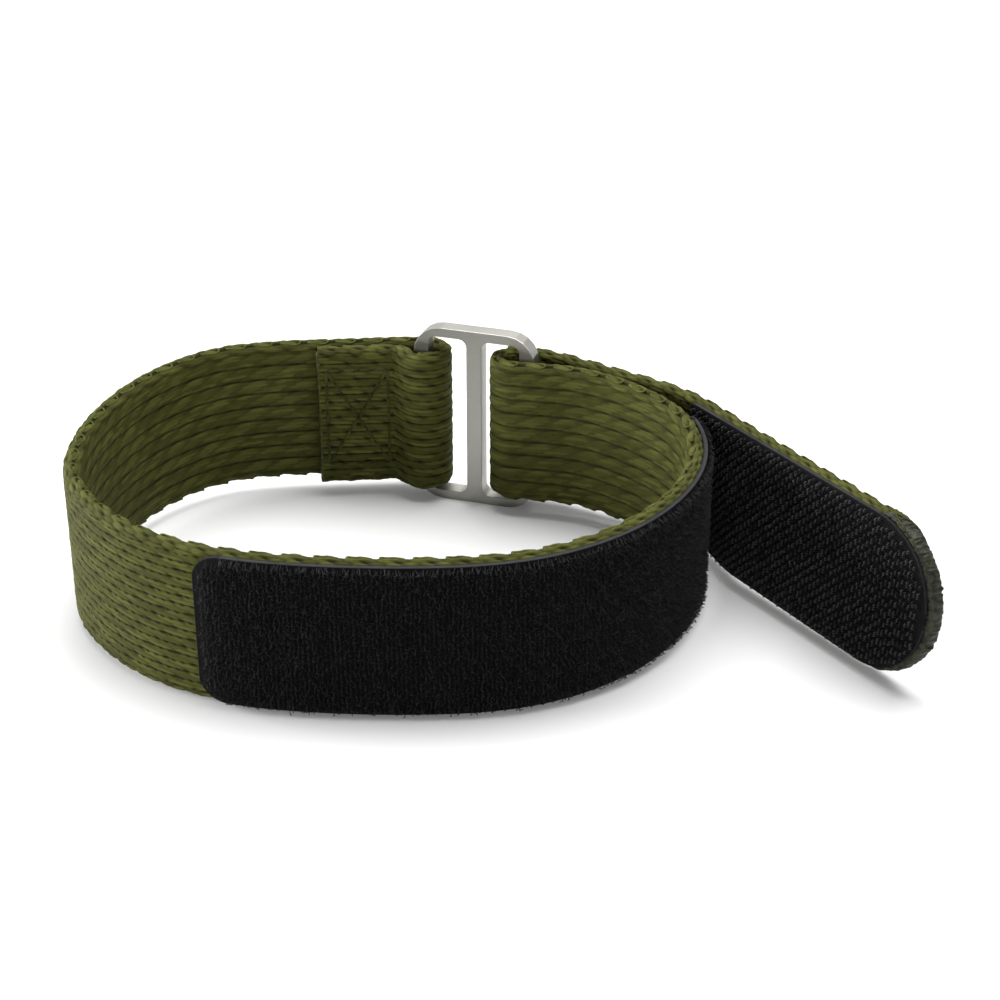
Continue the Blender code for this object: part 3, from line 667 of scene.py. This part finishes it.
def bead(pile, outline, half_thick, half_wide, wave):
    """A melted bead along an outline of (along, height) points, half as wide at each as given."""
    points = np.array(outline)
    steps = np.linalg.norm(np.diff(points, axis=0), axis=1)
    stations = np.concatenate(([0], np.cumsum(steps)))
    s = np.arange(0, stations[-1], BEAD_STEP)
    along, height = (np.interp(s, stations, points[:, k]) for k in (0, 1))
    broad = np.interp(s, stations, np.broadcast_to(half_wide, len(points)))[:, None]
    step_along, step_height = np.gradient(along), np.gradient(height)
    size = np.hypot(step_along, step_height)
    angle = np.arange(BEAD_SIDES)[None] * 2 * math.pi / BEAD_SIDES
    noise = rng.standard_normal((len(s), BEAD_SIDES))
    for _ in range(2):
        noise = sum(np.roll(noise, k, axis) for axis in (0, 1) for k in (-1, 0, 1)) / 3
    aside = np.cos(angle) * (broad + noise * wave)
    out = np.sign(np.sin(angle)) * np.abs(np.sin(angle)) ** 0.6 * (half_thick + 0.5 * noise * wave)
    spots = np.stack((along[:, None] + (step_height / size)[:, None] * aside,
                      height[:, None] - (step_along / size)[:, None] * aside, out), axis=-1)
    pile.add(spots.reshape(-1, 3), grid_faces(len(s), BEAD_SIDES, closed=True), 0, tone=0.5,
             depth=0.5, u=spots[:, :, 0].ravel() / MM, v=spots[:, :, 1].ravel() / MM)


# Materials

class Nodes:
    """Short calls for making and wiring the nodes of a tree."""

    def __init__(self, tree):
        self.tree = tree

    def node(self, kind, inputs=None, **settings):
        made = self.tree.nodes.new(kind)
        for key, value in settings.items():
            setattr(made, key, value)
        for key, value in (inputs or {}).items():
            if isinstance(value, bpy.types.NodeSocket):
                self.tree.links.new(value, made.inputs[key])
            else:
                made.inputs[key].default_value = value
        return made

    def show(self, shader, output):
        """Wire a shader to the surface of the tree's output."""
        self.tree.links.new(shader.outputs[0], self.tree.nodes[output].inputs["Surface"])

    def attribute(self, name):
        return self.node("ShaderNodeAttribute", attribute_name=name).outputs["Fac"]

    def noise(self, scale, detail=3.0, vector=None, roughness=0.55):
        inputs = {"Scale": scale, "Detail": detail, "Roughness": roughness}
        inputs["Vector"] = vector or self.node("ShaderNodeTexCoord").outputs["Object"]
        return self.node("ShaderNodeTexNoise", inputs).outputs["Fac"]

    def yarn_uv(self):
        """Distance along the band and across the yarn, in mm."""
        return self.node("ShaderNodeUVMap", uv_map="yarn").outputs["UV"]

    def along(self):
        return self.node("ShaderNodeSeparateXYZ", {0: self.yarn_uv()}).outputs["X"]

    def stretched(self, scale):
        return self.node("ShaderNodeMapping", {"Vector": self.yarn_uv(), "Scale": scale}).outputs[0]

    def ramp(self, fac, *stops):
        made = self.node("ShaderNodeValToRGB", {"Fac": fac})
        elements = made.color_ramp.elements
        while len(elements) < len(stops):
            elements.new(0.5)
        for element, (position, colour) in zip(elements, stops):
            element.position = position
            element.color = (*colour, 1.0)
        return made.outputs["Color"]

    def span(self, value, low, high, to_low=0.0, to_high=1.0, kind="LINEAR"):
        """A value carried over, and held, from one span to another."""
        return self.node("ShaderNodeMapRange", {"Value": value, "From Min": low, "From Max": high,
                                                "To Min": to_low, "To Max": to_high},
                         interpolation_type=kind, clamp=True).outputs["Result"]

    def math(self, operation, a, b=0.0):
        return self.node("ShaderNodeMath", {0: a, 1: b}, operation=operation).outputs["Value"]

    def mix(self, fac, a, b, kind="MIX"):
        """Two colours mixed; each of them is a socket or three numbers."""
        a, b = (c if isinstance(c, bpy.types.NodeSocket) else (*c, 1.0) for c in (a, b))
        made = self.node("ShaderNodeMix", data_type="RGBA", blend_type=kind)
        for index, value in ((0, fac), (6, a), (7, b)):
            if isinstance(value, bpy.types.NodeSocket):
                self.tree.links.new(value, made.inputs[index])
            else:
                made.inputs[index].default_value = value
        return made.outputs[2]


class Look(Nodes):
    """A Principled material; constant values go straight to its shader."""

    def __init__(self, name, **constants):
        self.material = bpy.data.materials.new(name)
        self.material.use_nodes = True
        super().__init__(self.material.node_tree)
        self.shader = self.tree.nodes["Principled BSDF"]
        for key, value in constants.items():
            self.shader.inputs[key.replace("_", " ")].default_value = value

    def to_shader(self, key, socket):
        self.tree.links.new(socket, self.shader.inputs[key])

    def bump(self, height, distance):
        made = self.node("ShaderNodeBump", {"Height": height, "Distance": distance, "Strength": 1.0})
        self.to_shader("Normal", made.outputs["Normal"])

    def pits(self, middle, half, count, pitch, step, slant, thin, short):
        """Painted shade: small dark pits in the grooves between one face's ribs, where its yarns are
        bound down.

        From groove to groove they move on by a step of their pitch; thin and short set their size.
        """
        level = self.math("SUBTRACT", self.attribute("lap"), middle / MM)
        rib = self.math("ADD", self.math("MULTIPLY", level, count * MM / (2 * half)), count / 2)
        groove = self.math("ROUND", rib)
        aside = self.math("SUBTRACT", rib, groove)
        turn = self.math("ADD", self.math("MULTIPLY", self.along(), MM / pitch),
                         self.math("MULTIPLY", groove, step))
        near = self.math("SUBTRACT", turn, self.math("ROUND", turn))
        slanted = self.math("ADD", aside, self.math("MULTIPLY", near, slant))
        size = self.math("ADD", self.math("POWER", self.math("MULTIPLY", slanted, thin), 2.0),
                         self.math("POWER", self.math("MULTIPLY", near, short), 2.0))
        inside = self.math("LESS_THAN", self.math("ABSOLUTE", level), half / MM)
        return self.math("MULTIPLY", self.span(size, 1.4, 0.1), inside)

    def rib_pit_shade(self):
        """The painted pit shade of both faces, fainter where the turnback is pressed flat."""
        outer = self.pits(0.0, STRAIGHT, OUTER_RIBS, TWIST_PITCH, 0.37, 0.22, 6.5, 3.1)
        inner = self.pits(FACE_LAP, STRAIGHT, INNER_RIBS, FLOAT_PITCH, 0.5, -0.16, 6.0, 2.2)
        clear = self.span(self.along(), 12.0, 45.0, 0.30, 0.85)
        both = self.math("ADD", outer, self.math("MULTIPLY", inner, 0.60))
        return self.math("MULTIPLY", both, clear)


def yarn_material(name, dark, middle, light, pits=False):
    """Multifilament yarn: fine lengthwise streaks, a tone for each float, painted shade in the gaps
    between floats and, if pits is set, painted shade in the rib pits.
    """
    m = Look(name, Roughness=0.68, Specular_IOR_Level=0.07)
    filaments = m.noise(1.0, 2.0, m.stretched((0.45, 11.0, 1.0)))
    patches = m.noise(260.0, 3.0)
    tone = m.math("ADD", m.math("MULTIPLY", m.attribute("tone"), 0.30),
                  m.math("MULTIPLY", filaments, 0.40))
    tone = m.math("ADD", tone, m.math("MULTIPLY", patches, 0.30))
    colour = m.ramp(tone, (0.20, dark), (0.5, middle), (0.80, light))
    # Painted shade: the colour is multiplied down where the depth attribute is low, between and at the
    # rims of floats and at sunk stitch ends
    depth = m.ramp(m.attribute("depth"), (0.0, (0.16, 0.16, 0.16)), (0.45, (0.45, 0.45, 0.45)),
                   (0.85, (1.0, 1.0, 1.0)))
    colour = m.mix(1.0, colour, depth, "MULTIPLY")
    if pits:
        pit_shade = m.rib_pit_shade()
        # Near-black painted shade in the rib pits
        colour = m.mix(pit_shade, colour, (0.004, 0.0045, 0.0015))
        filaments = m.math("SUBTRACT", filaments, m.math("MULTIPLY", pit_shade, 2.5))
    m.to_shader("Base Color", colour)
    m.bump(filaments, 0.05 * MM)
    return m.material


def fibre_material(name, dark, light, roughness):
    """Loops or hooks: a tone for each, with painted shade darkening them towards the foot."""
    m = Look(name, Roughness=roughness, Specular_IOR_Level=0.14)
    # Painted shade: the tone is multiplied by depth, which falls to 0 at each fibre's foot
    tone = m.math("MULTIPLY", m.attribute("tone"), m.attribute("depth"))
    tone = m.math("ADD", tone, m.math("MULTIPLY", m.noise(420.0, 3.0), 0.35))
    m.to_shader("Base Color", m.ramp(tone, (0.1, dark), (0.9, light)))
    return m.material


def tape_material(name, dark, light, roughness, threads):
    """Woven backing of a pad: fine crossed threads in its bump."""
    m = Look(name, Roughness=roughness, Specular_IOR_Level=0.08)
    vector = m.stretched((threads, threads, 1.0))
    across, down = (m.node("ShaderNodeTexWave", {"Vector": vector, "Scale": 1.0, "Distortion": 0.6},
                           bands_direction=way).outputs["Fac"] for way in "XY")
    weave = m.math("MAXIMUM", across, down)
    tone = m.math("MULTIPLY", weave, m.noise(300.0))
    m.to_shader("Base Color", m.ramp(tone, (0.0, dark), (0.8, light)))
    m.bump(weave, 0.05 * MM)
    return m.material


def steel_material(name):
    """Bead-blasted stainless steel with faint handling marks."""
    m = Look(name, Metallic=1.0)
    blast = m.noise(5200.0, 2.0)
    cloud = m.noise(140.0, 4.0)
    colour = m.ramp(m.math("ADD", m.math("MULTIPLY", blast, 0.35), m.math("MULTIPLY", cloud, 0.65)),
                    (0.25, (0.315, 0.31, 0.286)), (0.75, (0.395, 0.388, 0.358)))
    m.to_shader("Base Color", colour)
    m.to_shader("Roughness", m.math("ADD", 0.34, m.math("MULTIPLY", cloud, 0.16)))
    m.bump(blast, 0.006 * MM)
    return m.material


def melt_material(name, dark, light):
    """Webbing melted to a lumpy skin."""
    m = Look(name, Roughness=0.5, Specular_IOR_Level=0.22)
    lumps = m.noise(1500.0, 4.0)
    m.to_shader("Base Color", m.ramp(lumps, (0.38, dark), (0.62, light)))
    m.bump(lumps, 0.20 * MM)
    return m.material


webbing = yarn_material("olive_webbing", (0.028, 0.029, 0.0055), (0.054, 0.057, 0.0120),
                        (0.096, 0.100, 0.0235), pits=True)
thread = yarn_material("olive_thread", (0.020, 0.021, 0.006), (0.038, 0.041, 0.012),
                       (0.060, 0.063, 0.019))
pile_fibre = fibre_material("loop_pile_fibre", (0.002, 0.002, 0.0021), (0.020, 0.0205, 0.0215), 0.6)
pile_tape = tape_material("loop_pad_tape", (0.0015, 0.0015, 0.0016), (0.006, 0.006, 0.0065), 0.7, 6.0)
hook_tape = tape_material("hook_pad_tape", (0.0015, 0.0015, 0.0016), (0.007, 0.007, 0.0075), 0.6, 5.0)
hook_fibre = fibre_material("hook_filament", (0.002, 0.002, 0.002), (0.029, 0.030, 0.032), 0.4)
tape_edge = tape_material("pad_cut_edge", (0.010, 0.010, 0.011), (0.033, 0.033, 0.037), 0.6, 9.0)
steel = steel_material("bead_blasted_steel")
melt_dark = melt_material("sealed_tip", (0.0015, 0.0015, 0.0012), (0.020, 0.022, 0.009))
melt_green = melt_material("sealed_cut", (0.018, 0.020, 0.006), (0.050, 0.054, 0.016))


# The strap's pieces

PAD_START = MARK["run_end"] - LOOP_PAD_END_DISTANCE - LOOP_PAD_LENGTH
PAD_END = MARK["run_end"] - LOOP_PAD_END_DISTANCE
HOOKS_START = MARK["bend"] + HOOK_PAD_START
HOOKS_END = MARK["tip"] - HOOK_PAD_RIM
TIP_RADIUS = BAND_WIDTH / 2
TIP_WITHOUT_LINKS = 9.0 * MM
# The pads' bases, and the level on which their fibres and hooks stand
PAD_LOW = HALF_BAND - 0.07 * MM
LOOP_PAD_HIGH = HALF_BAND + 0.50 * MM
HOOK_PAD_HIGH = HALF_BAND + 0.46 * MM
PAD_FOOT = HALF_BAND + 0.38 * MM
LOOP_PAD_CORNERS = (3.4 * MM, 3.4 * MM)
HOOK_PAD_CORNERS = (0.8 * MM, 9.5 * MM)
# Distances between fibre columns, fibres and hooks, and how far they keep from the pads' edges
FIBRE_COLUMN, FIBRE_STEP, FIBRE_INSET = 0.52 * MM, 0.33 * MM, 0.50 * MM
HOOK_STEP, HOOK_INSET, HOOK_REACH = 0.64 * MM, 0.55 * MM, 8.96 * MM
FRAY_HEIGHTS = (0.95 * MM, 19.05 * MM)
SEAM_START, SEAM_END = 1.2 * MM, 9.4 * MM
SEAM_LOW, SEAM_HIGH = 3.05 * MM, 16.95 * MM
SEAM_REACH = HALF_BAND + 0.10 * MM
# Margin inside the ends of a piece across a joint, where points at mid-height are taken
BLEND_MARGIN = 0.3 * MM

# Where the webbing is parted, the bodies of each part, and the node that it replaces
run_split = MARK["run_end"] - 9 * MM
WEBBING_PARTS = (
    ("webbing_turnback", run_split / 4, ("loop",), "band_loop"),
    ("webbing_loop_left", run_split / 2, ("loop",), "band_loop"),
    ("webbing_loop_front", run_split * 3 / 4, ("loop",), "band_loop"),
    ("webbing_loop_right", run_split, ("loop",), "band_loop"),
    ("webbing_run", MARK["run_end"] + 3.5 * MM, ("loop", "buckle"), "band_bar_wrap"),
    ("webbing_bar_wrap", MARK["swing"] - 3.4 * MM, ("buckle",), "band_bar_wrap"),
    ("webbing_swing", MARK["swing"] + 5.0 * MM, ("buckle", "tail_root"), "band_tail_root"),
    ("webbing_tail_root", MARK["bend"] - 6.0 * MM, ("tail_root",), "band_tail_root"),
    ("webbing_bend", MARK["bend"] + 1.4 * MM, ("tail_root", "tail_end"), "band_tail_end"),
    ("webbing_tail_end", MARK["tip"], ("tail_end",), "band_tail_end"),
)


def melted_width(share):
    """How far the melted rim reaches in from the tip's outline: wide at the tip, thin at the sides."""
    rest = np.clip((0.97 - np.asarray(share)) / 0.35, 0.0, 1.0)
    return (0.35 + 0.90 * rest * rest * (3 - 2 * rest)) * MM


def place_webbing(spots):
    """Band coordinates to the world, with the yarns cut off at the tip's half round and the cut end."""
    across = np.clip(np.abs(spots[:, 1] - TIP_RADIUS), 0, TIP_RADIUS)
    limit = MARK["tip"] - TIP_RADIUS + np.sqrt(np.maximum(TIP_RADIUS ** 2 - across ** 2, 0))
    held = spots.copy()
    held[:, 0] = np.clip(spots[:, 0], 0.15 * MM, limit - melted_width(across / TIP_RADIUS))
    return route.place(held)


def mid_height(along):
    """A point of the route at mid-height."""
    return tuple(route.place(np.array([[along, MIDDLE_HEIGHT, 0.0]]))[0])


def finish_piece(pile, name, materials, body, node=None):
    """Lay a piece on the band's route; it rides on its body and replaces its node."""
    piece = pile.build(name, materials, route.place)
    if node:
        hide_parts(node)
    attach(piece, body)


def make_webbing():
    """The band, in parts: one on a single body rides on it, one across a joint is baked where it lies.
    """
    start = 0.0
    for name, end, bodies, node in WEBBING_PARTS:
        pile = Pile()
        add_webbing(pile, start, end)
        add_links(pile, start, end - (TIP_WITHOUT_LINKS if end == MARK["tip"] else 0.0))
        piece = pile.build(name, [webbing], place_webbing)
        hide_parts(node)
        if len(bodies) == 1:
            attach(piece, bodies[0])
        else:
            mid_height(start + BLEND_MARGIN)
            mid_height(end - BLEND_MARGIN)
            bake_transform(piece)
        start = end


def make_sealed_ends():
    """The melted rim of the tip and the melted cut end inside the loop."""
    angles = np.linspace(-math.pi / 2, math.pi / 2, 60)
    half_rim = 0.62 * melted_width(np.abs(np.sin(angles)))
    radius = TIP_RADIUS - 0.10 * MM - half_rim
    rim = np.stack((MARK["tip"] - TIP_RADIUS + radius * np.cos(angles),
                    TIP_RADIUS + radius * np.sin(angles)), axis=1)
    pile = Pile()
    bead(pile, rim, 1.06 * MM, half_rim, 0.055 * MM)
    finish_piece(pile, "sealed_tip", [melt_dark], "tail_end")
    cut = [(0.25 * MM, 0.3 * MM), (0.25 * MM, BAND_WIDTH - 0.3 * MM)]
    pile = Pile()
    bead(pile, cut, 1.00 * MM, 0.30 * MM, 0.016 * MM)
    finish_piece(pile, "sealed_cut_end", [melt_green], "loop")


def make_loop_pad():
    """The loop pad: its base, and three parts of its pile with a rougher row along each long edge,
    painted brighter as a highlight.
    """
    pile = Pile()
    slab(pile, PAD_START, PAD_END, LOOP_PAD_CORNERS, PAD_LOW, LOOP_PAD_HIGH)
    finish_piece(pile, "loop_pad_base", [pile_tape, tape_edge], "loop", "loop_pad")
    spots = []
    for number, column in enumerate(np.arange(PAD_START, PAD_END, FIBRE_COLUMN)):
        heights = np.arange(0.5 * MM, BAND_WIDTH - 0.5 * MM, FIBRE_STEP) + (number % 2) * 0.16 * MM
        spots.append(np.stack((column + 0.05 * MM * rng.standard_normal(len(heights)),
                               heights + 0.12 * MM * rng.standard_normal(len(heights))), axis=1))
    spots = inside_pad(np.concatenate(spots), PAD_START + 0.5 * MM, PAD_END, LOOP_PAD_CORNERS,
                       FIBRE_INSET)
    thirds = np.floor((spots[:, 0] - PAD_START) / LOOP_PAD_LENGTH * 3)
    for number, side in enumerate(("left", "middle", "right")):
        pile = Pile()
        loop_fibres(pile, spots[thirds == number], 0.80 * MM, 0.048 * MM)
        fray = np.arange(number, number + 1, 0.0095) / 3 * LOOP_PAD_LENGTH + PAD_START
        fray = fray[(fray > PAD_START + LOOP_PAD_CORNERS[0]) & (fray < PAD_END - LOOP_PAD_CORNERS[1])]
        # Rows of fuzz along the long edges, with a brighter tone as painted highlight
        for height in FRAY_HEIGHTS:
            spread = 0.16 * MM * rng.standard_normal((2, len(fray)))
            loop_fibres(pile, np.stack((fray + spread[0], height + spread[1]), axis=1),
                        0.90 * MM, 0.050 * MM, 0.35)
        finish_piece(pile, "loop_pad_pile_" + side, [pile_fibre], "loop")


def make_hook_pad():
    """The hook pad: its base and its hooks, which stand in a square grid."""
    pile = Pile()
    slab(pile, HOOKS_START, HOOKS_END, HOOK_PAD_CORNERS, PAD_LOW, HOOK_PAD_HIGH)
    finish_piece(pile, "hook_pad_base", [hook_tape, tape_edge], "tail_end", "hook_pad")
    columns = np.arange(HOOKS_START + 0.7 * MM, HOOKS_END, HOOK_STEP)
    heights = np.arange(MIDDLE_HEIGHT - HOOK_REACH, MIDDLE_HEIGHT + HOOK_REACH + 0.01 * MM, HOOK_STEP)
    spots = np.stack(np.meshgrid(columns, heights, indexing="ij"), axis=-1).reshape(-1, 2)
    pile = Pile()
    hooks(pile, inside_pad(spots, HOOKS_START, HOOKS_END, HOOK_PAD_CORNERS, HOOK_INSET))
    finish_piece(pile, "hook_filaments", [hook_tape, hook_fibre], "tail_end")


def make_seam():
    """The turnback's seam: a box with a cross in it, on both faces of the two layers."""
    low_left, low_right = (SEAM_START, SEAM_LOW), (SEAM_END, SEAM_LOW)
    high_left, high_right = (SEAM_START, SEAM_HIGH), (SEAM_END, SEAM_HIGH)
    lines = [(low_left, low_right), (low_right, high_right), (high_right, high_left),
             (high_left, low_left), (low_left, high_right), (high_left, low_right)]
    pile = Pile()
    stitches(pile, lines, SEAM_REACH, 1)
    finish_piece(pile, "needle_stitches", [thread], "loop", "needle_thread")
    pile = Pile()
    stitches(pile, lines, -LAYER_OFFSET - SEAM_REACH, -1)
    finish_piece(pile, "bobbin_stitches", [thread], "loop", "bobbin_thread")


make_webbing()
make_sealed_ends()
make_loop_pad()
make_hook_pad()
make_seam()
for buckle_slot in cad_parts["buckle_frame"].material_slots:
    buckle_slot.material = steel


# Floor, light and camera

FLOOR_REACH = 3.0
FLOOR_DROP = 0.02 * MM
CAMERA_OFFSET = (3.15 * MM, -256.9 * MM)
CAMERA_HEIGHT = 132.4 * MM
CAMERA_TILT = math.radians(62.7)


def make_floor():
    """A pale floor that fades to white, for the camera alone, away from the strap."""
    mesh = bpy.data.meshes.new("floor")
    corners = [(x * FLOOR_REACH, y * FLOOR_REACH, 0) for x, y in ((-1, -1), (1, -1), (1, 1), (-1, 1))]
    mesh.from_pydata(corners, [], [(0, 1, 2, 3)])
    floor = link_new("floor", mesh)
    floor.location.z = -FLOOR_DROP
    m = Look("pale_floor", Roughness=0.9, Base_Color=(0.66, 0.66, 0.66, 1.0))
    glow = m.node("ShaderNodeEmission", {"Color": (1, 1, 1, 1), "Strength": 1.0})
    place = m.node("ShaderNodeTexCoord").outputs["Object"]
    away = m.node("ShaderNodeVectorMath", {0: place}, operation="LENGTH").outputs["Value"]
    share = m.math("MULTIPLY", m.node("ShaderNodeLightPath").outputs["Is Camera Ray"],
                   m.span(away, 0.20, 0.60, 0.06, 1.0, "SMOOTHSTEP"))
    m.show(m.node("ShaderNodeMixShader", {0: share, 1: m.shader.outputs[0], 2: glow.outputs[0]}),
           "Material Output")
    mesh.materials.append(m.material)


def make_world():
    """Soft light all round; metal mirrors a room that is darker in front; the camera sees white."""
    world = bpy.data.worlds.new("studio")
    bpy.context.scene.world = world
    world.use_nodes = True
    w = Nodes(world.node_tree)
    w.tree.nodes.remove(w.tree.nodes["Background"])
    parts = w.node("ShaderNodeSeparateXYZ", {0: w.node("ShaderNodeTexCoord").outputs["Generated"]})
    room = w.ramp(w.math("ADD", parts.outputs["Y"], parts.outputs["Z"]),
                  (0.0, (0.16, 0.16, 0.14)), (0.75, (0.85, 0.85, 0.84)))
    white = (1.0, 1.0, 1.0, 1.0)
    rays = w.node("ShaderNodeLightPath").outputs
    seen = w.node("ShaderNodeBackground", {"Color": white, "Strength": 0.38})
    for ray, colour in (("Is Glossy Ray", room), ("Is Camera Ray", white)):
        other = w.node("ShaderNodeBackground", {"Color": colour, "Strength": 1.0})
        seen = w.node("ShaderNodeMixShader", {0: rays[ray], 1: seen.outputs[0], 2: other.outputs[0]})
    w.show(seen, "World Output")


def make_lamp(name, spot, target, size, power):
    """A rectangular lamp that faces its target."""
    light = bpy.data.lights.new(name, "AREA")
    light.shape = "RECTANGLE"
    light.size, light.size_y = size
    light.energy = power
    holder = link_new(name, light)
    holder.location = spot
    holder.rotation_euler = (Vector(target) - Vector(spot)).to_track_quat("-Z", "Y").to_euler()


make_floor()
make_world()
make_lamp("top_soft", (0.10, 0.19, 0.73), (0.0, 0.0, 0.0), (0.8, 0.6), 12.0)
make_lamp("left_low", (-0.60, 0.06, 0.15), (0.0, 0.0, 0.01), (0.4, 0.22), 6.5)
make_lamp("front_low", (0.05, -0.60, 0.13), (0.0, 0.0, 0.01), (0.6, 0.2), 2.0)

camera = bpy.data.cameras.new("camera")
camera.lens = 75.6
camera.sensor_width = 36.0
camera_holder = link_new("camera", camera)
camera_holder.location = (*(BUCKLE_MIDDLE + CAMERA_OFFSET), CAMERA_HEIGHT)
camera_holder.rotation_euler = (CAMERA_TILT, 0.0, 0.0)
bpy.context.scene.camera = camera_holder
bpy.context.scene.view_settings.view_transform = "Standard"
